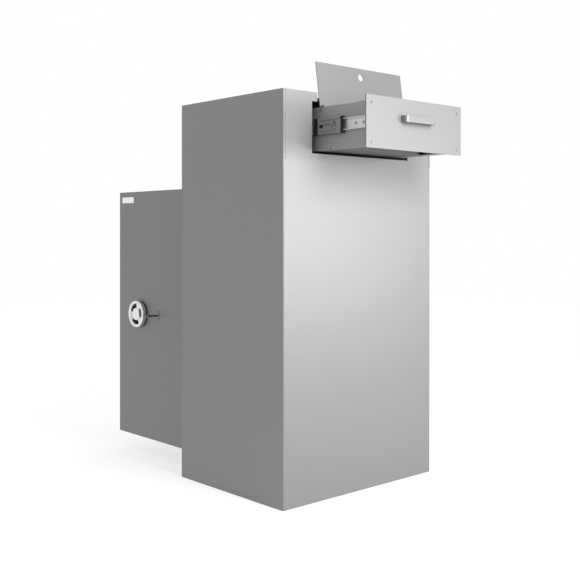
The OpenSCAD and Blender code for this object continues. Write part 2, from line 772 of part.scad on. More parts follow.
// closed coils of the two springs that lift the trap
module trap_spring(x0) difference() {
    bar_x(trap_pin_d / 2 + spring_gap + spring_wire, x0 + slip, x0 + spring_len - slip, trap_y, trap_z);
    bar_x(trap_pin_d / 2 + spring_gap, x0 - cut, x0 + spring_len + cut, trap_y, trap_z);
}
module trap_springs() color(steel_colour) drawer_pose() {
    trap_spring(trap_x0);
    trap_spring(trap_x1 - spring_len);
}

// hinge hardware: the pins stand in brackets behind the head and the sill
module hinge_bracket(z0) difference() {
    block([hinge_x - hinge_block_x, in_rear - hinge_block_y, z0],
        [hinge_x + hinge_block_x, in_rear, z0 + pivot_up]);
    bar_z(pivot_d / 2, z0 - cut, z0 + pivot_up + cut, hinge_x, hinge_y);
}
module hinge_bracket_top() color(steel_colour) hinge_bracket(gate_top);
module hinge_bracket_bottom() color(steel_colour) hinge_bracket(sill_h - pivot_up);
module hinge_pins() color(chrome_colour) {
    bar_z(pivot_d / 2, door_z1 - pivot_deep + slip, gate_top + pivot_up, hinge_x, hinge_y);
    bar_z(pivot_d / 2, sill_h - pivot_up, door_z0 + pivot_deep - slip, hinge_x, hinge_y);
    difference() {
        bar_z(washer_d / 2, sill_h, door_z0 - washer_slip, hinge_x, hinge_y);
        bar_z(pivot_d / 2, sill_h - cut, door_z0 + cut, hinge_x, hinge_y);
    }
}

// double-bit outline of the key or, with a gap, of its hole
module bit_outline(gap) {
    circle(key_d / 2 + gap);
    square([bit_w + 2 * gap, bit_t + 2 * gap], center = true);
}
// an outline in X and Z at the keyhole, swept along Y
module at_key(y0, y1)
    translate([key_x, y1, lock_z]) rotate([90, 0, 0]) linear_extrude(height = y1 - y0) children();
module door_plate() color(body_colour) door_pose() difference() {
    block([-door_x, door_in, door_z0], [door_x, rear_y, door_z1]);
    for (z = [door_z0 - cut, door_z1 - pivot_deep])
        bar_z(pivot_d / 2 + fit, z, z + pivot_deep + cut, hinge_x, hinge_y);
    bar_y(spindle_d / 2 + fit, door_in - cut, rear_y + cut, knob_x, lock_z);
    at_key(door_in - cut, rear_y + cut) bit_outline(key_pass);
}
// pan over the boltwork: a cover sheet on strips that are welded to the door plate
module pan_cover() color(body_colour) door_pose()
    block([pan_x0, pan_y0, pan_z0], [pan_x1, pan_y0 + pan_t, pan_z1]);
// on the lock's side the strip has a gap for each bolt
module pan_walls() color(body_colour) door_pose() {
    y0 = pan_y0 + pan_t;
    gap = bolt_d / 2 + bolt_pass;
    ends = [for (k = [-1:1]) lock_z + k * bolt_pitch - gap, pan_z1];
    starts = [pan_z0, for (k = [-1:1]) lock_z + k * bolt_pitch + gap];
    block([pan_x0, y0, pan_z0], [pan_x0 + pan_t, door_in, pan_z1]);
    for (z = [pan_z0, pan_z1 - pan_t])
        block([pan_x0 + pan_t + slip, y0, z], [pan_x1 - pan_t - slip, door_in, z + pan_t]);
    for (k = [0:len(ends) - 1])
        block([pan_x1 - pan_t, y0, starts[k]], [pan_x1, door_in, ends[k]]);
}
// fixed bar that hooks behind the hinge jamb when the door is shut
module dog_bar() color(steel_colour) door_pose() translate([0, 0, (door_z0 + door_z1 - dog_len) / 2])
    linear_extrude(height = dog_len) polygon([
        [-door_x - dog_reach, door_in - dog_t], [-door_x + dog_over, door_in - dog_t],
        [-door_x + dog_over, door_in], [-door_x - dog_gap, door_in],
        [-door_x - dog_gap, in_rear - dog_gap], [-door_x - dog_reach, in_rear - dog_gap]
    ]);
module bolt_guides() color(steel_colour) door_pose() for (k = [-1:1]) difference() {
    block([guide_x0, bolt_y - bolt_d / 2 - guide_low, lock_z + k * bolt_pitch - guide_z],
        [guide_x0 + guide_t, door_in, lock_z + k * bolt_pitch + guide_z]);
    bar_x(bolt_d / 2 + fit, guide_x0 - cut, guide_x0 + guide_t + cut, bolt_y, lock_z + k * bolt_pitch);
}
// sliding bar of the boltwork, with the arm for the crank and the tail that the lock's bolt enters
module bolt_bar() color(steel_colour) door_pose() difference() {
    y0 = bolt_y - bar_t / 2;
    y1 = bolt_y + bar_t / 2;
    union() {
        block([bar_x0, y0, lock_z - bolt_pitch - bar_over], [bar_x1, y1, lock_z + bolt_pitch + bar_over]);
        block([arm_x0, y0, arm_z0], [bar_x0, y1, arm_z1]);
        block([tail_x0, y0 - tail_t, key_bolt_z - tail_h], [bar_x1, y0, key_bolt_z + tail_h]);
    }
    crank_x = knob_x - crank_r * sin(crank_turn);
    hole = crank_pin_d / 2 + crank_slack;
    block([crank_x - hole, y0 - cut, lock_z + crank_r * cos(crank_turn) - hole],
        [crank_x + hole, y1 + cut, lock_z + crank_r + hole]);
    r = key_bolt_w / 2 + notch_slack;
    for (x = [key_x, key_x - stroke])
        block([x - r, y0 - tail_t - cut, key_bolt_z - r], [x + r, y0 + cut, key_bolt_z + r]);
}
module lock_bolts() color(chrome_colour) door_pose() for (k = [-1:1])
    bar_x(bolt_d / 2, bar_x1, bolt_end, bolt_y, lock_z + k * bolt_pitch);

// lock on the back of the door plate: a closed case, its bolt and the key
module lock_case() color(steel_colour) door_pose() difference() {
    x0 = key_x - case_w / 2;
    x1 = key_x + case_w / 2;
    y0 = door_in - case_d;
    z1 = case_z0 + case_h;
    r = key_bolt_w / 2 + bolt_slack;
    block([x0, y0, case_z0], [x1, door_in, z1]);
    block([x0 + case_t, y0 + case_t, case_z0 + case_t], [x1 - case_t, door_in - case_t, z1 - case_t]);
    block([key_x - r, y0 - cut, key_bolt_z - r], [key_x + r, y0 + case_t + cut, key_bolt_z + r]);
    at_key(door_in - case_t - cut, door_in + cut) bit_outline(key_pass);
}
module key_bolt() color(chrome_colour) door_pose() {
    y0 = door_in - case_d + slip;
    block([key_x - key_bolt_w / 2, y0, key_bolt_z - key_bolt_w / 2],
        [key_x + key_bolt_w / 2, y0 + key_bolt_len, key_bolt_z + key_bolt_w / 2]);
}
module keyhole_plate() color(chrome_colour) door_pose() difference() {
    bar_y(ring_d / 2, rear_y, rear_y + ring_t, key_x, lock_z);
    at_key(rear_y - cut, rear_y + ring_t + cut) bit_outline(key_pass);
}
module key() color(dark_colour) door_pose() {
    bow_y = rear_y + key_out - bow_l / 2;
    bar_y(key_d / 2, door_in - case_t - slip - bit_len, bow_y - bow_l / 4, key_x, lock_z);
    at_key(door_in - case_t - slip - bit_len, door_in - case_t - slip)
        square([bit_w, bit_t], center = true);
    translate([key_x, bow_y, lock_z - bow_t / 2]) linear_extrude(height = bow_t) difference() {
        scale([bow_w / bow_l, 1]) circle(d = bow_l);
        scale([bow_w / bow_l * bow_hole_share, bow_hole_share]) circle(d = bow_l);
    }
}
module name_plate() color(white_colour) door_pose()
    block([door_x - plate_in - plate_w, rear_y, door_z1 - plate_down - plate_h],
        [door_x - plate_in, rear_y + plate_t, door_z1 - plate_down]);

// knob with a round rim, a hub and three openings between its spokes
module at_knob() translate([knob_x, rear_y, lock_z]) rotate([-90, 0, 0]) children();
module knob() color(chrome_colour) door_pose() at_knob() difference() {
    rotate_extrude() {
        translate([0, bush_t + slip / 2]) square([hub_d / 2, hub_h - bush_t - slip / 2]);
        translate([0, web_up]) square([knob_d / 2 - rim_w / 2, web_t]);
        translate([knob_d / 2 - rim_w, rim_up]) square([rim_w, knob_h - rim_up - rim_w / 2]);
        translate([knob_d / 2 - rim_w / 2, knob_h - rim_w / 2]) circle(rim_w / 2);
    }
    open_r0 = hub_d / 2 + slip;
    open_r1 = knob_d / 2 - rim_w - slip;
    for (k = [0:spokes - 1]) rotate(spoke_turn + k * 360 / spokes) translate([0, 0, web_up - cut])
        rotate_extrude(angle = spoke_open) translate([open_r0, 0]) square([open_r1 - open_r0, web_t + 2 * cut]);
    translate([0, 0, -cut]) cylinder(r = spindle_d / 2, h = hub_h - hub_cap + cut);
}
module spindle_bush() color(chrome_colour) door_pose() difference() {
    bar_y(bush_d / 2, rear_y, rear_y + bush_t, knob_x, lock_z);
    bar_y(spindle_d / 2 + fit, rear_y - cut, rear_y + bush_t + cut, knob_x, lock_z);
}
module spindle() color(steel_colour) door_pose()
    bar_y(spindle_d / 2, crank_y1 - crank_t, rear_y + hub_h - hub_cap, knob_x, lock_z);
// crank on the spindle, whose pin moves the bolt bar
module crank() color(steel_colour) door_pose() difference() {
    union() {
        bar_y(crank_d / 2, crank_y1 - crank_t, crank_y1, knob_x, lock_z);
        bar_y(crank_pin_d / 2, bolt_y - bar_t / 2 - slip, crank_y1 - crank_t + slip,
            knob_x - crank_r * sin(crank_turn), lock_z + crank_r * cos(crank_turn));
    }
    bar_y(spindle_d / 2, crank_y1 - crank_t - cut, crank_y1 + cut, knob_x, lock_z);
}

side_left();
side_right();
front_plate();
top_plate();
base_plate();
rear_head();
rear_sill();
hinge_jamb();
lock_jamb();
strike_bar();
bay_floor();
bay_back();
chute_rear();
chute_comb();
slide_bracket_left();
slide_bracket_right();
slide_outer_left();
slide_outer_right();
bracket_screws();
hinge_bracket_top();
hinge_bracket_bottom();
hinge_pins();
slide_middle_left();
slide_middle_right();
ball_cages();
slide_bumpers();
drawer_panel();
drawer_front();
drawer_side_left();
drawer_side_right();
drawer_back();
drawer_floor();
drawer_cover();
panel_screws();
pull_handle();
handle_screws();
slide_inner_left();
slide_inner_right();
slide_screws();
trap_pin();
trap_springs();
lid();
lid_pins();
trap_door();
door_plate();
pan_cover();
pan_walls();
dog_bar();
bolt_guides();
lock_case();
keyhole_plate();
name_plate();
spindle_bush();
knob();
spindle();
crank();
bolt_bar();
lock_bolts();
key_bolt();
key();
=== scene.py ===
import json
import math
import bmesh
import bpy
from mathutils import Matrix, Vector


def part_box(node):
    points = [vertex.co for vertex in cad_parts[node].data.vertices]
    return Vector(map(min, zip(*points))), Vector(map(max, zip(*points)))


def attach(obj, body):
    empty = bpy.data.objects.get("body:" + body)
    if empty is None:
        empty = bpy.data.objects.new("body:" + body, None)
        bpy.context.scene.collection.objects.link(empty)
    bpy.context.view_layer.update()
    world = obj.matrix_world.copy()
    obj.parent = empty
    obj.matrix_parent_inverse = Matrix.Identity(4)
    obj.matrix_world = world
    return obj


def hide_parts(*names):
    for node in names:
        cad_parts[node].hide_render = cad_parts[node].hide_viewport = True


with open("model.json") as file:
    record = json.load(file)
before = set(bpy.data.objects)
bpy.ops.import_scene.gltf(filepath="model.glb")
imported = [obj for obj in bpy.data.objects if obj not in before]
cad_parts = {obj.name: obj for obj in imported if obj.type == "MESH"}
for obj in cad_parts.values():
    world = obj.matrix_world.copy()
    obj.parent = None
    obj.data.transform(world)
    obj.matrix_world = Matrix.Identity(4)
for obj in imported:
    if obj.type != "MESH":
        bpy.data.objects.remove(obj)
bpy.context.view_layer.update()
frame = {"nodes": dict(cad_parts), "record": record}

cadNodes = frame["nodes"]
slotOf = {part["node"]: part["material_slot"] for part in frame["record"]["subparts"]}
print("frame loaded:", len(cadNodes), "nodes")


# camera at the photograph's place: level, with its horizon above the middle of the picture

shot = {
    "place": (-1.7015, -1.8196, 0.6595),
    "azimuth": -42.0,            # degrees round the object, as seen from above
    "focal": 914.0 / 580.0,      # focal length as a share of the picture's width
    "horizon": -58.0 / 580.0,    # how far the picture is shifted, as a share of its width
    "sensor": 36.0,
    "far": 50,
}
quarter = math.radians(90)


def placed(name, data):
    thing = bpy.data.objects.new(name, data)
    bpy.context.scene.collection.objects.link(thing)
    return thing


def makeCamera():
    data = bpy.data.cameras.new("camera")
    data.sensor_width = shot["sensor"]
    data.lens = shot["focal"] * shot["sensor"]
    data.shift_y = shot["horizon"]
    data.clip_end = shot["far"]
    camera = placed("camera", data)
    camera.location = shot["place"]
    camera.rotation_euler = (quarter, 0, math.radians(shot["azimuth"]))
    bpy.context.scene.camera = camera


studio = {
    "surround": 1.0,             # brightness of the white room
    "aim": (-0.05, -0.2, 0.62),
    "right": {"place": (1.5, -2.3, 0.7), "size": 0.9, "power": 31.3},
    "front": {"place": (-0.15, -1.3, 1.3), "size": 0.5, "power": 24.5},
    "fill": {"place": (-0.6, -2.3, 1.4), "size": 0.9, "power": 7.4},
}


def areaLight(name, look):
    data = bpy.data.lights.new(name, "AREA")
    data.shape = "RECTANGLE"
    data.size = data.size_y = look["size"]
    data.energy = look["power"]
    light = placed(name, data)
    light.location = look["place"]
    toward = Vector(studio["aim"]) - Vector(look["place"])
    light.rotation_euler = toward.to_track_quat("-Z", "Y").to_euler()


def makeStudio():
    world = bpy.data.worlds.new("studio")
    world.use_nodes = True
    room = world.node_tree.nodes["Background"].inputs
    room["Color"].default_value = (1, 1, 1, 1)
    room["Strength"].default_value = studio["surround"]
    bpy.context.scene.world = world
    bpy.context.scene.view_settings.view_transform = "Standard"
    for name in ("right", "front", "fill"):
        areaLight(name + "Light", studio[name])


makeCamera()
makeStudio()
print("camera and lights made")


# node helpers

def wire(tree, kind, inputs=None, **settings):
    node = tree.nodes.new(kind)
    for key, value in settings.items():
        setattr(node, key, value)
    for key, value in (inputs or {}).items():
        socket = node.inputs[key]
        if isinstance(value, bpy.types.NodeSocket):
            tree.links.new(value, socket)
        else:
            socket.default_value = value
    return node


def newMaterial(name):
    material = bpy.data.materials.new(name)
    material.use_nodes = True
    tree = material.node_tree
    tree.nodes.clear()
    return material, tree


def finishMaterial(tree, shader):
    wire(tree, "ShaderNodeOutputMaterial", {"Surface": shader.outputs[0]})


def objectPlace(tree, stretch=(1, 1, 1)):
    # the pattern follows the object and is drawn out where the stretch is small
    place = wire(tree, "ShaderNodeTexCoord").outputs["Object"]
    return wire(tree, "ShaderNodeMapping", {"Vector": place, "Scale": stretch}).outputs[0]


def noiseOn(tree, place, scale, detail):
    noise = {"Vector": place, "Scale": scale, "Detail": detail}
    return wire(tree, "ShaderNodeTexNoise", noise).outputs[0]


def between(tree, share, span):
    limits = {"Value": share, "To Min": span[0], "To Max": span[1]}
    return wire(tree, "ShaderNodeMapRange", limits).outputs[0]


def shadeOf(tree, share, colour, spread):
    dark = [c * (1 - spread) for c in colour] + [1]
    light = [c * (1 + spread) for c in colour] + [1]
    # the node's sockets for its other data types come before the ones for colours
    mix = wire(tree, "ShaderNodeMix", {"Factor": share}, data_type="RGBA")
    mix.inputs[6].default_value = dark
    mix.inputs[7].default_value = light
    return mix.outputs[2]


def bumpOn(tree, height, distance, under=None):
    inputs = {"Height": height, "Distance": distance, "Strength": 1.0}
    if under:
        inputs["Normal"] = under
    return wire(tree, "ShaderNodeBump", inputs).outputs[0]


# finishes

def satinPaint(name, look):
    material, tree = newMaterial(name)
    place = objectPlace(tree)
    cloud = noiseOn(tree, place, look["cloud"], detail=3)
    peel = noiseOn(tree, place, look["peel"], detail=1)
    speck = noiseOn(tree, place, look["speck"], detail=2)
    skin = bumpOn(tree, peel, look["peelHeight"])
    skin = bumpOn(tree, speck, look["speckHeight"], skin)
    shader = wire(tree, "ShaderNodeBsdfPrincipled", {
        "Base Color": shadeOf(tree, cloud, look["colour"], look["spread"]),
        "Roughness": between(tree, speck, look["rough"]),
        "Metallic": look["metal"],
        "Specular IOR Level": look["shine"],
        "Emission Color": (1, 1, 1, 1),
        "Emission Strength": look["glow"],
        "Normal": skin,
    })
    finishMaterial(tree, shader)
    return material


def brushedMetal(name, look):
    material, tree = newMaterial(name)
    long = noiseOn(tree, objectPlace(tree, look["stretch"]), look["grain"], detail=3)
    cloud = noiseOn(tree, objectPlace(tree), look["cloud"], detail=2)
    shader = wire(tree, "ShaderNodeBsdfPrincipled", {
        "Base Color": shadeOf(tree, long, look["colour"], look["spread"]),
        "Roughness": between(tree, cloud, look["rough"]),
        "Metallic": look["metal"],
        "Normal": bumpOn(tree, long, look["depth"]),
    })
    finishMaterial(tree, shader)
    return material


def smoothMetal(name, look):
    material, tree = newMaterial(name)
    place = objectPlace(tree)
    smudge = noiseOn(tree, place, look["smudge"], detail=4)
    fine = noiseOn(tree, place, look["fine"], detail=2)
    shader = wire(tree, "ShaderNodeBsdfPrincipled", {
        "Base Color": shadeOf(tree, smudge, look["colour"], look["spread"]),
        "Roughness": between(tree, smudge, look["rough"]),
        "Metallic": look["metal"],
        "Normal": bumpOn(tree, fine, look["depth"]),
    })
    finishMaterial(tree, shader)
    return material


def grey(shade, blue=0.0):
    return (shade, shade, shade + blue)


# spread: how far the cloudy pattern lightens and darkens the colour, as a share of it
# scales are per metre, heights and depths in metres
paintLook = {
    "colour": grey(0.187), "spread": 0.025, "rough": (0.40, 0.46), "metal": 0.35,
    "cloud": 3, "peel": 260, "peelHeight": 0.00002, "speck": 1400, "speckHeight": 0.00001,
    "shine": 0.5, "glow": 0.0,
}
finishes = {
    "body_paint": satinPaint("bodyPaint", paintLook),
    "front_paint": satinPaint("frontPaint", paintLook),
    # the door's and the lid's copies of the body paint are darker: painted shade for the duller
    # light on them
    "door_paint": satinPaint("doorPaintShaded", dict(paintLook, colour=grey(0.173))),
    "lid_paint": satinPaint("lidPaintShaded", dict(paintLook, colour=grey(0.160))),
    "brushed_panel": brushedMetal("brushedPanel", {
        "colour": grey(0.165), "spread": 0.03, "rough": (0.42, 0.48), "metal": 0.4,
        "stretch": (0.04, 1, 1), "grain": 1500, "cloud": 9, "depth": 0.000006}),
    "chrome": smoothMetal("brightChrome", {
        "colour": grey(0.74, 0.01), "spread": 0.02, "rough": (0.10, 0.16), "metal": 1.0,
        "smudge": 60, "fine": 700, "depth": 0.000002}),
    "zinc_steel": brushedMetal("zincSteel", {
        "colour": grey(0.26, 0.005), "spread": 0.06, "rough": (0.28, 0.38), "metal": 0.9,
        "stretch": (1, 0.06, 1), "grain": 1200, "cloud": 40, "depth": 0.000006}),
    "lock_steel": brushedMetal("lockSteel", {
        "colour": grey(0.36, 0.01), "spread": 0.08, "rough": (0.34, 0.46), "metal": 0.9,
        "stretch": (1, 1, 0.06), "grain": 900, "cloud": 30, "depth": 0.00001}),
    "black_plastic": satinPaint("blackPlastic", dict(
        paintLook, colour=grey(0.010, 0.001), rough=(0.5, 0.6), metal=0.0, spread=0.1,
        shine=0.12)),
    "key_steel": smoothMetal("keySteel", {
        "colour": grey(0.20, 0.005), "spread": 0.2, "rough": (0.22, 0.36), "metal": 1.0,
        "smudge": 220, "fine": 900, "depth": 0.000008}),
    # near-black finish on the screws' cross recesses: painted shade that stands in for the shade
    # inside the deep recess
    "recess": satinPaint("recess", dict(
        paintLook, colour=grey(0.012), rough=(0.5, 0.6), metal=0.0, spread=0.1, shine=0.05)),
    "box_paint": satinPaint("boxPaint", dict(paintLook, colour=grey(0.240))),
    # the trap's copy of the paint is made much darker: painted shade for the shade inside the
    # drawer
    "trap_painted_shade": satinPaint("trapPaintedShade", dict(paintLook, colour=grey(0.095))),
    "strap_steel": brushedMetal("strapSteel", {
        "colour": grey(0.165, 0.001), "spread": 0.04, "rough": (0.34, 0.40), "metal": 0.5,
        "stretch": (0.04, 1, 1), "grain": 1500, "cloud": 30, "depth": 0.000006}),
    "galvanised": brushedMetal("galvanised", {
        "colour": (0.58, 0.575, 0.58), "spread": 0.14, "rough": (0.38, 0.46), "metal": 0.8,
        "stretch": (1, 1, 1), "grain": 420, "cloud": 120, "depth": 0.000008}),
    "blank_plate": satinPaint("blankPlate", dict(
        paintLook, colour=(0.74, 0.79, 0.83), rough=(0.30, 0.36), metal=0.0, spread=0.01)),
    "floor_paper": satinPaint("floorPaper", dict(
        paintLook, colour=grey(0.45), rough=(0.6, 0.7), metal=0.0, spread=0.01, shine=0.0,
        glow=0.55)),
}
print("finishes made:", len(finishes))


# copies of the CAD pieces with their doubles merged, flat faces joined and edges eased

ease = {
    "plain": 0.0004,             # bevel of the pieces that easeOf doesn't name
    "steps": 2,
    "sharp": 30,                 # an edge is eased where its faces turn by more degrees than this
    "crease": 40,                # shading breaks where faces turn by more degrees than this
    "flat": 0.5,                 # faces that turn by fewer degrees than this are joined
    "weld": 0.00001,
    "seam": 0.0002,              # an edge this near a seam's plane lies on it
}
# welded plates stay square in the planes where one meets the next: axis and place
leftSeam = (0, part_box("side_left")[1].x)
rightSeam = (0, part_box("side_right")[0].x)
frontSeam = (1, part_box("front_plate")[1].y)
rearSeam = (1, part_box("rear_head")[0].y)
sillSeam = (2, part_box("rear_sill")[1].z)
headSeam = (2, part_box("rear_head")[0].z)
seams = {
    "side_left": [leftSeam],
    "side_right": [rightSeam],
    "front_plate": [leftSeam, rightSeam, frontSeam],
    "top_plate": [leftSeam, rightSeam, frontSeam, rearSeam],
    "base_plate": [leftSeam, rightSeam, frontSeam, rearSeam],
    "rear_head": [leftSeam, rightSeam, rearSeam],
    "rear_sill": [leftSeam, rightSeam, rearSeam],
    "hinge_jamb": [leftSeam, rearSeam, sillSeam, headSeam],
    "lock_jamb": [rightSeam, rearSeam, sillSeam, headSeam],
}
easeOf = {
    "side_left": 0.0008, "side_right": 0.0008, "front_plate": 0.0006, "top_plate": 0.0006,
    "drawer_panel": 0.0005, "pull_handle": 0.0009, "door_plate": 0.001, "pan_cover": 0.0012,
    "lid": 0.0003, "knob": 0.0009, "key": 0.0005, "slide_bumpers": 0.0005, "dog_bar": 0.0012,
    "lock_bolts": 0.0015, "bolt_bar": 0.0008, "keyhole_plate": 0.0003, "name_plate": 0.0001,
}


def onSeam(edge, planes):
    return any(all(abs(v.co[axis] - place) < ease["seam"] for v in edge.verts)
               for axis, place in planes)


# nodes whose finish differs from that of their slot's other nodes
finishOf = {
    "pull_handle": "strap_steel", "panel_screws": "strap_steel",
    "slide_inner_left": "galvanised", "slide_inner_right": "galvanised",
    "drawer_side_left": "box_paint", "drawer_side_right": "box_paint", "drawer_back": "box_paint",
    "drawer_front": "box_paint", "drawer_cover": "box_paint",
    # the trap door and the drawer floor take the darkened paint, a painted shade
    "trap_door": "trap_painted_shade", "drawer_floor": "trap_painted_shade",
}


def finishFor(node):
    return finishes[finishOf.get(node, slotOf[node])]


def mergedForm(node):
    form = bmesh.new()
    form.from_mesh(cadNodes[node].data)
    bmesh.ops.remove_doubles(form, verts=form.verts, dist=ease["weld"])
    return form


def meshOf(form, name, finish):
    mesh = bpy.data.meshes.new(name)
    form.to_mesh(mesh)
    form.free()
    mesh.materials.append(finish)
    return mesh


def easedCopy(node):
    form = mergedForm(node)
    bmesh.ops.dissolve_limit(form, angle_limit=math.radians(ease["flat"]),
                             verts=form.verts, edges=form.edges)
    sharp = math.radians(ease["sharp"])
    planes = seams.get(node, [])
    edges = [e for e in form.edges
             if len(e.link_faces) == 2 and e.calc_face_angle(0) > sharp and not onSeam(e, planes)]
    bmesh.ops.bevel(form, geom=edges, offset=easeOf.get(node, ease["plain"]),
                    segments=ease["steps"], profile=0.5, affect="EDGES",
                    clamp_overlap=True, loop_slide=True)
    for face in form.faces:
        face.smooth = True
    mesh = meshOf(form, node + "_eased", finishFor(node))
    mesh.set_sharp_from_angle(angle=math.radians(ease["crease"]))
    piece = placed(node + "_eased", mesh)
    soften = piece.modifiers.new("flatFaces", "WEIGHTED_NORMAL")
    soften.keep_sharp = True
    return piece


def settle(piece, body, slotName, *nodes):
    # the modifiers' result becomes the mesh, then the piece rides on its body
    graph = bpy.context.evaluated_depsgraph_get()
    mesh = bpy.data.meshes.new_from_object(piece.evaluated_get(graph), depsgraph=graph)
    if mesh.materials[0] is None:    # realized instances bring an empty slot
        mesh.materials.pop(index=0)
    mesh.name = piece.name
    piece.modifiers.clear()
    piece.data = mesh
    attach(piece, body)
    if nodes:
        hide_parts(*nodes)
    return piece


def solidBoxes(node):
    # lowest and highest corner of each separate solid of a CAD node
    form = mergedForm(node)
    left = set(form.verts)
    boxes = []
    while left:
        heap = [left.pop()]
        island = []
        while heap:
            v = heap.pop()
            island.append(v.co.copy())
            near = {e.other_vert(v) for e in v.link_edges} & left
            left -= near
            heap += near
        boxes.append(tuple(Vector([pick(co[k] for co in island) for k in range(3)])
                           for pick in (min, max)))
    form.free()
    return sorted(boxes, key=lambda box: tuple(box[0]))


bodies = frame["record"]["behaviour"]["bodies"]
bodyOf = {node: body for body, nodes in bodies.items() for node in nodes}
# these are made anew further down
regrown = ("panel_screws", "slide_screws", "bracket_screws", "handle_screws", "trap_springs",
           "slide_middle_left", "slide_middle_right")
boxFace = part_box("drawer_side_right")[1].x
# the bumpers are shorter and flatter than their solids, by these shares
bumper = {"lengthShare": 0.7, "depthShare": 0.84}


def trimBumpers(mesh):
    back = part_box("slide_bumpers")[1].y
    for v in mesh.vertices:
        side = math.copysign(1, v.co.x)
        out = (abs(v.co.x) - boxFace) * bumper["depthShare"]
        v.co.x = side * (boxFace + out)
        v.co.y = back + (v.co.y - back) * bumper["lengthShare"]


for node in sorted(set(cadNodes) - set(regrown)):
    piece = easedCopy(node)
    if node == "slide_bumpers":
        trimBumpers(piece.data)
    settle(piece, bodyOf[node], slotOf[node], node)
print("pieces eased:", len(cadNodes) - len(regrown))


# geometry node trees for what repeats: each one puts its form on a mesh's points

def startTree(name, sizes, materials=("Finish",)):
    tree = bpy.data.node_groups.new(name, "GeometryNodeTree")
    tree.interface.new_socket("Places", in_out="INPUT", socket_type="NodeSocketGeometry")
    for size in sizes:
        kind = "NodeSocketInt" if size in ("Turns", "Count", "Seed") else "NodeSocketFloat"
        tree.interface.new_socket(size, in_out="INPUT", socket_type=kind)
    for material in materials:
        tree.interface.new_socket(material, in_out="INPUT", socket_type="NodeSocketMaterial")
    tree.interface.new_socket("Mesh", in_out="OUTPUT", socket_type="NodeSocketGeometry")
    return tree, wire(tree, "NodeGroupInput").outputs


def maths(tree, operation, a, b):
    return wire(tree, "ShaderNodeMath", {0: a, 1: b}, operation=operation).outputs[0]


def alongZ(tree, z):
    return wire(tree, "ShaderNodeCombineXYZ", {"Z": z}).outputs[0]


def dressed(tree, mesh, material):
    return wire(tree, "GeometryNodeSetMaterial", {
        "Geometry": mesh, "Material": material}).outputs[0]


def moved(tree, mesh, shift):
    return wire(tree, "GeometryNodeTransform", {"Geometry": mesh, "Translation": shift}).outputs[0]


def endTree(tree, given, mesh, turn=None, finish=None):
    # the form stands on every point, turned as the point's own attribute says
    facing = wire(tree, "GeometryNodeInputNamedAttribute", {"Name": "facing"},
                  data_type="FLOAT_VECTOR").outputs[0]
    spread = wire(tree, "GeometryNodeInstanceOnPoints", {
        "Points": given["Places"], "Instance": mesh, "Rotation": facing}).outputs[0]
    if turn:
        spread = wire(tree, "GeometryNodeRotateInstances", {
            "Instances": spread, "Rotation": turn}).outputs[0]
    real = wire(tree, "GeometryNodeRealizeInstances", {"Geometry": spread}).outputs[0]
    if finish:
        real = dressed(tree, real, finish)
    wire(tree, "NodeGroupOutput", {"Mesh": real})


facets = {"head": 32, "shank": 24, "coilTurn": 20, "wire": 8, "ball": 3, "cap": 40}


def halfOf(tree, size):
    return maths(tree, "DIVIDE", size, 2)


def screwTree():
    tree, given = startTree("crossScrew", (
        "Head Width", "Neck Width", "Head Depth", "Shank Width", "Shank Length",
        "Cross Width", "Cross Length", "Cross Depth", "Seed"), ("Finish", "RecessShade"))
    low = maths(tree, "MULTIPLY", given["Head Depth"], -1)
    head = wire(tree, "GeometryNodeMeshCone", {
        "Vertices": facets["head"], "Radius Top": halfOf(tree, given["Head Width"]),
        "Radius Bottom": halfOf(tree, given["Neck Width"]),
        "Depth": given["Head Depth"]}).outputs[0]
    shank = wire(tree, "GeometryNodeMeshCylinder", {
        "Vertices": facets["shank"], "Radius": halfOf(tree, given["Shank Width"]),
        "Depth": given["Shank Length"]}).outputs[0]
    middle = maths(tree, "DIVIDE", given["Shank Length"], -2)
    middle = maths(tree, "SUBTRACT", middle, halfOf(tree, given["Head Depth"]))
    body = wire(tree, "GeometryNodeMeshBoolean", operation="UNION")
    for part in (moved(tree, head, alongZ(tree, low)), moved(tree, shank, alongZ(tree, middle))):
        tree.links.new(dressed(tree, part, given["Finish"]), body.inputs["Mesh 2"])
    arms = wire(tree, "GeometryNodeMeshBoolean", operation="UNION")
    deep = maths(tree, "MULTIPLY", given["Cross Depth"], 2)
    for x, y in (("Cross Length", "Cross Width"), ("Cross Width", "Cross Length")):
        size = wire(tree, "ShaderNodeCombineXYZ", {
            "X": given[x], "Y": given[y], "Z": deep}).outputs[0]
        bar = wire(tree, "GeometryNodeMeshCube", {"Size": size}).outputs[0]
        # the cross arms carry the near-black painted shade onto the recess walls
        tree.links.new(dressed(tree, bar, given["RecessShade"]), arms.inputs["Mesh 2"])
    cut = wire(tree, "GeometryNodeMeshBoolean", {
        "Mesh 1": body.outputs[0], "Mesh 2": arms.outputs[0]}, operation="DIFFERENCE").outputs[0]
    chance = wire(tree, "FunctionNodeRandomValue", {"Seed": given["Seed"]}, data_type="FLOAT")
    angle = maths(tree, "MULTIPLY", chance.outputs[1], quarter)
    endTree(tree, given, cut, turn=alongZ(tree, angle))
    return tree


def coilTree():
    tree, given = startTree("wireCoil", ("Coil Width", "Wire Width", "Length", "Turns"))
    radius = halfOf(tree, given["Coil Width"])
    path = wire(tree, "GeometryNodeCurveSpiral", {
        "Resolution": facets["coilTurn"], "Rotations": given["Turns"],
        "Start Radius": radius, "End Radius": radius, "Height": given["Length"]}).outputs[0]
    ring = wire(tree, "GeometryNodeCurvePrimitiveCircle", {
        "Resolution": facets["wire"], "Radius": halfOf(tree, given["Wire Width"])}).outputs[0]
    coil = wire(tree, "GeometryNodeCurveToMesh", {
        "Curve": path, "Profile Curve": ring, "Fill Caps": True}).outputs[0]
    centred = moved(tree, coil, alongZ(tree, maths(tree, "DIVIDE", given["Length"], -2)))
    endTree(tree, given, centred, finish=given["Finish"])
    return tree


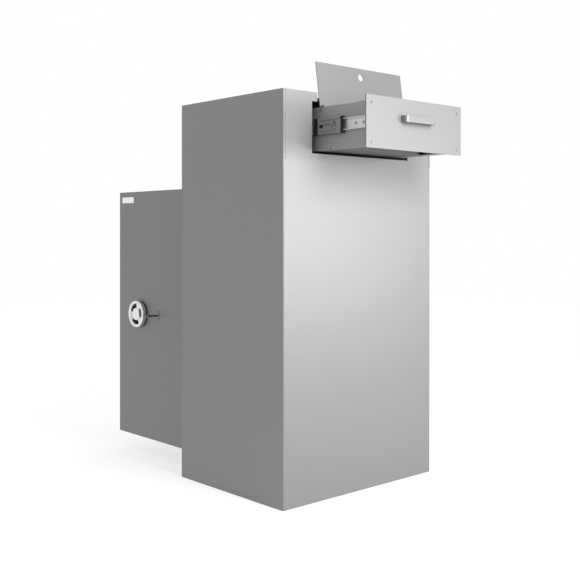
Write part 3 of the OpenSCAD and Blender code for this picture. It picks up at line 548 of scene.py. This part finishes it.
def ballTree():
    tree, given = startTree("ballRow", ("Ball Width", "Length", "Count"))
    ball = wire(tree, "GeometryNodeMeshIcoSphere", {
        "Radius": halfOf(tree, given["Ball Width"]), "Subdivisions": facets["ball"]}).outputs[0]
    step = maths(tree, "DIVIDE", given["Length"], given["Count"])
    start = halfOf(tree, maths(tree, "SUBTRACT", step, given["Length"]))
    line = wire(tree, "GeometryNodeMeshLine", {
        "Count": given["Count"], "Start Location": alongZ(tree, start),
        "Offset": alongZ(tree, step)}).outputs[0]
    row = wire(tree, "GeometryNodeInstanceOnPoints", {"Points": line, "Instance": ball}).outputs[0]
    endTree(tree, given, row, finish=given["Finish"])
    return tree


def grown(name, tree, sizes, places):
    # places are pairs: a point, and the turn that takes the form's Z to its direction there
    mesh = bpy.data.meshes.new(name)
    mesh.from_pydata([point for point, turn in places], [], [])
    facing = mesh.attributes.new("facing", "FLOAT_VECTOR", "POINT")
    for k, (point, turn) in enumerate(places):
        facing.data[k].vector = turn
    piece = placed(name, mesh)
    grow = piece.modifiers.new("grow", "NODES")
    grow.node_group = tree
    items = [item for item in tree.interface.items_tree if item.in_out == "INPUT"]
    sockets = {item.name: item.identifier for item in items}
    for size, value in sizes.items():
        grow[sockets[size]] = value
    return piece


def bevelled(piece, edge):
    bevel = piece.modifiers.new("edge", "BEVEL")
    bevel.width = edge["width"]
    bevel.segments = edge["steps"]
    bevel.angle_limit = math.radians(edge["sharp"])


toFront = (quarter, 0, 0)
toRight = (0, quarter, 0)
toLeft = (0, -quarter, 0)
toBack = (-quarter, 0, 0)
crossScrew, wireCoil, ballRow = screwTree(), coilTree(), ballTree()

flatHead = {"Head Width": 0.007, "Neck Width": 0.007, "Head Depth": 0.0003, "Shank Width": 0.004,
            "Cross Width": 0.0010, "Cross Length": 0.0034, "Cross Depth": 0.0018}
screws = {
    "panel_screws": {
        "Head Width": 0.0074, "Neck Width": 0.004, "Head Depth": 0.0022, "Shank Width": 0.004,
        "Cross Width": 0.0011, "Cross Length": 0.0054, "Cross Depth": 0.0016, "Seed": 3},
    "handle_screws": {
        "Head Width": 0.008, "Neck Width": 0.008, "Head Depth": 0.0022, "Shank Width": 0.004,
        "Cross Width": 0.0011, "Cross Length": 0.0044, "Cross Depth": 0.0015, "Seed": 2},
    "slide_screws": dict(flatHead, Seed=5),
    "bracket_screws": dict(flatHead, Seed=8),
}
screwEdge = {"width": 0.00006, "steps": 1, "sharp": 40}


def growScrews(node, headSide):
    # headSide takes a solid's middle and gives its head's axis, whether the head is at the
    # high end of that axis, and its turn
    places = []
    length = 0
    for low, high in solidBoxes(node):
        axis, atHigh, turn = headSide((low + high) / 2)
        point = (low + high) / 2
        point[axis] = (high if atHigh else low)[axis]
        length = high[axis] - low[axis]
        places.append((point, turn))
    sizes = dict(screws[node], Finish=finishFor(node), RecessShade=finishes["recess"])
    sizes["Shank Length"] = length - sizes["Head Depth"] / 2
    piece = grown(node + "_grown", crossScrew, sizes, places)
    bevelled(piece, screwEdge)
    settle(piece, bodyOf[node], slotOf[node], node)


def sideways(onHighSide):
    return 0, onHighSide, toRight if onHighSide else toLeft


growScrews("handle_screws", lambda centre: (1, True, toBack))
growScrews("panel_screws", lambda centre: (1, False, toFront))
growScrews("slide_screws", lambda centre: sideways(centre.x > 0))
growScrews("bracket_screws", lambda centre: sideways(centre.x < 0))

springs = {"Coil Width": 0.0074, "Wire Width": 0.0011, "Turns": 8,
           "Finish": finishes[slotOf["trap_springs"]]}
springBoxes = solidBoxes("trap_springs")
low, high = springBoxes[0]
springs["Length"] = high.x - low.x - springs["Wire Width"]
settle(grown("trap_springs_grown", wireCoil, springs,
             [((low + high) / 2, toRight) for low, high in springBoxes]),
       bodyOf["trap_springs"], slotOf["trap_springs"], "trap_springs")

balls = {"Ball Width": 0.0051, "Count": 11, "Finish": finishes["chrome"]}
cageBoxes = solidBoxes("ball_cages")
low, high = cageBoxes[0]
balls["Length"] = high.y - low.y
settle(grown("slideBalls", ballRow, balls, [((low + high) / 2, toBack) for low, high in cageBoxes]),
       bodyOf["ball_cages"], "chrome")


def capTree():
    tree, given = startTree("pushCap", ("Cap Width", "Cap Height", "Top Share"))
    radius = halfOf(tree, given["Cap Width"])
    cap = wire(tree, "GeometryNodeMeshCone", {
        "Vertices": facets["cap"], "Radius Bottom": radius,
        "Radius Top": maths(tree, "MULTIPLY", radius, given["Top Share"]),
        "Depth": given["Cap Height"]}).outputs[0]
    endTree(tree, given, cap, finish=given["Finish"])
    return tree


# push-on caps over the ends of the trap's pin and the lid's pins, outside the box
caps = {"Cap Width": 0.0086, "Cap Height": 0.0016, "Top Share": 0.62,
        "Finish": finishes["zinc_steel"]}
capEdge = {"width": 0.0006, "steps": 3, "sharp": 30}
pinReach = 0.003                 # a pin that ends this near a side of the box gets its cap there
capPlaces = []
for low, high in solidBoxes("trap_pin") + solidBoxes("lid_pins"):
    for x, turn in ((-boxFace, toLeft), (boxFace, toRight)):
        if low.x - pinReach < x < high.x + pinReach:
            capPlaces.append(((x, (low.y + high.y) / 2, (low.z + high.z) / 2), turn))
pinCaps = grown("pinCaps", capTree(), caps, capPlaces)
bevelled(pinCaps, capEdge)
settle(pinCaps, "drawer", "zinc_steel")
print("screws, springs, balls and caps grown:", len(capPlaces))


# rolled middle members of the slides, with the cut-outs of their catch

slideLow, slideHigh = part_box("slide_middle_right")
slideMiddle = (slideLow.z + slideHigh.z) / 2
# the section is in distances out of the box's side and heights over the member's middle, and
# the outlines are in distances behind its front end and heights over its middle
rolled = {
    "face": slideHigh.x - boxFace, "lip": slideLow.x - boxFace, "half": slideHigh.z - slideMiddle,
    "length": slideHigh.y - slideLow.y, "web": 0.0104, "sheet": 0.0014, "corner": 0.003,
    "step": (0.0122, 0.0136), "groove": 0.0008, "arc": 5, "cut": (0.006, 0.014), "ring": 12,
    "crease": 35, "edge": {"width": 0.0002, "steps": 1, "sharp": 40},
    "window": [(0.0588, -0.0042), (0.0723, -0.0042), (0.0723, 0.0038), (0.0588, 0.0038)],
    "slot": [(0.0316, 0.0018), (0.0580, 0.0018), (0.0580, 0.0034), (0.0316, 0.0034)],
    "legs": [
        [(0.0128, -0.0038), (0.0150, -0.0038), (0.0202, 0.0075), (0.0202, 0.0105),
         (0.0188, 0.0105)],
        [(0.0250, -0.0038), (0.0272, -0.0038), (0.0222, 0.0105), (0.0208, 0.0105),
         (0.0208, 0.0075)]],
    "hole": ((0.0188, -0.0087), 0.0017),
}


def rolledPath(offset):
    # the outer line of the section with a groove at each step, or a line one sheet inside it
    face, web, half = (rolled[size] - offset for size in ("face", "web", "half"))
    radius = rolled["corner"] - offset
    upper = [(rolled["lip"], half)]
    for k in range(rolled["arc"] + 1):
        turn = quarter * (1 - k / rolled["arc"])
        upper.append((face - radius + radius * math.cos(turn),
                      half - radius + radius * math.sin(turn)))
    low, high = rolled["step"]
    rim = (high - low) / 4
    deep = web if offset else web - rolled["groove"]
    upper += [(face, high), (deep, high - rim), (deep, low + rim), (web, low)]
    return upper + [(x, -z) for x, z in reversed(upper)]


def slidePoint(side, x, y, z):
    return side * (boxFace + x), slideLow.y + y, slideMiddle + z


def prism(form, side, outline, span):
    # an outline swept sideways between two distances from the box
    rings = [[form.verts.new(slidePoint(side, x, y, z)) for y, z in outline] for x in span]
    faces = [form.faces.new(ring) for ring in rings]
    for k in range(len(outline)):
        j = (k + 1) % len(outline)
        faces.append(form.faces.new((rings[0][k], rings[0][j], rings[1][j], rings[1][k])))
    bmesh.ops.recalc_face_normals(form, faces=faces)


def cutterOf(side):
    # everything that is cut out of a middle member
    form = bmesh.new()
    (holeY, holeZ), radius = rolled["hole"]
    turns = [4 * quarter * k / rolled["ring"] for k in range(rolled["ring"])]
    ring = [(holeY + radius * math.cos(a), holeZ + radius * math.sin(a)) for a in turns]
    for outline in [rolled["window"], rolled["slot"], ring] + rolled["legs"]:
        prism(form, side, outline, rolled["cut"])
    mesh = bpy.data.meshes.new("cutOuts")
    form.to_mesh(mesh)
    form.free()
    return placed("cutOuts", mesh)


def rollMiddle(node, side):
    form = bmesh.new()
    section = rolledPath(0) + list(reversed(rolledPath(rolled["sheet"])))
    rings = [[form.verts.new(slidePoint(side, x, y, z)) for x, z in section]
             for y in (0, rolled["length"])]
    count = len(section)
    half = count // 2
    for k in range(count):
        j = (k + 1) % count
        form.faces.new((rings[0][k], rings[0][j], rings[1][j], rings[1][k]))
    for ring in rings:
        for k in range(half - 1):
            form.faces.new((ring[k], ring[k + 1], ring[count - 2 - k], ring[count - 1 - k]))
    bmesh.ops.recalc_face_normals(form, faces=form.faces)
    piece = placed(node + "_rolled", meshOf(form, node + "_rolled", finishFor(node)))
    cutter = cutterOf(side)
    cut = piece.modifiers.new("cutOuts", "BOOLEAN")
    cut.object = cutter
    cut.solver = "EXACT"
    bevelled(piece, rolled["edge"])
    settle(piece, bodyOf[node], slotOf[node], node)
    piece.data.shade_smooth()
    piece.data.set_sharp_from_angle(angle=math.radians(rolled["crease"]))
    bpy.data.objects.remove(cutter)


rollMiddle("slide_middle_left", -1)
rollMiddle("slide_middle_right", 1)


# black parts: a wiper and a catch on each middle member, and a disc under the knob that is partly a
# black base and partly painted shade in the knob's openings and beside its rim

blackEdge = {"width": 0.0002, "steps": 2, "sharp": 30}
# where they start and end behind the member's front end, how far they reach up and down from
# its middle, and how far out of the box
blacks = {
    "slideWipers": {"along": (0.0768, 0.0906), "reach": 0.0202, "out": (0.0105, 0.01128)},
    "slideCatches": {"along": (0.0090, 0.0750), "reach": 0.0112, "out": (0.0066, 0.00892)},
}


def addBlack(name):
    look = blacks[name]
    (start, end), reach = look["along"], look["reach"]
    form = bmesh.new()
    for side in (-1, 1):
        outline = [(start, -reach), (end, -reach), (end, reach), (start, reach)]
        prism(form, side, outline, look["out"])
    piece = placed(name, meshOf(form, name, finishes["black_plastic"]))
    bevelled(piece, blackEdge)
    settle(piece, "slide_middle", "black_plastic")


addBlack("slideWipers")
addBlack("slideCatches")

disc = {"hole": 0.0104, "radius": 0.0375, "base": 0.0001, "height": 0.0034, "edge": 0.0008,
        "steps": 96}


def addDisc():
    # turned from a section of radius and height over the door
    base, top, edge = disc["base"], disc["height"], disc["edge"]
    section = [(disc["hole"], base), (disc["hole"], top), (disc["radius"] - edge, top),
               (disc["radius"], top - edge), (disc["radius"], base)]
    form = bmesh.new()
    knobLow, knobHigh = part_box("knob")
    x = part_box("door_plate")[0].x
    y, z = ((knobLow + knobHigh) / 2).yz
    rings = []
    for k in range(disc["steps"]):
        a = 4 * quarter * k / disc["steps"]
        rings.append([form.verts.new((x - h, y + r * math.cos(a), z + r * math.sin(a)))
                      for r, h in section])
    for k, ring in enumerate(rings):
        after = rings[(k + 1) % len(rings)]
        for i in range(len(section)):
            j = (i + 1) % len(section)
            form.faces.new((ring[i], ring[j], after[j], after[i]))
    bmesh.ops.recalc_face_normals(form, faces=form.faces)
    # the black disc stands in partly for the shade under the knob and beside its rim
    knobBaseAndShade = placed("knobBaseAndShade", meshOf(form, "knobBaseAndShade", finishes["black_plastic"]))
    settle(knobBaseAndShade, "door", "black_plastic")


addDisc()
print("slides and knob detailed")


# floor

ground = {"reach": 6.0, "sink": 0.0005}


def makeFloor():
    reach = ground["reach"]
    corners = [(-reach, -reach, 0), (reach, -reach, 0), (reach, reach, 0), (-reach, reach, 0)]
    mesh = bpy.data.meshes.new("floor")
    mesh.from_pydata(corners, [], [(0, 1, 2, 3)])
    mesh.materials.append(finishes["floor_paper"])
    floor = placed("floor", mesh)
    floor.location.z = -ground["sink"]


makeFloor()
print("floor made")
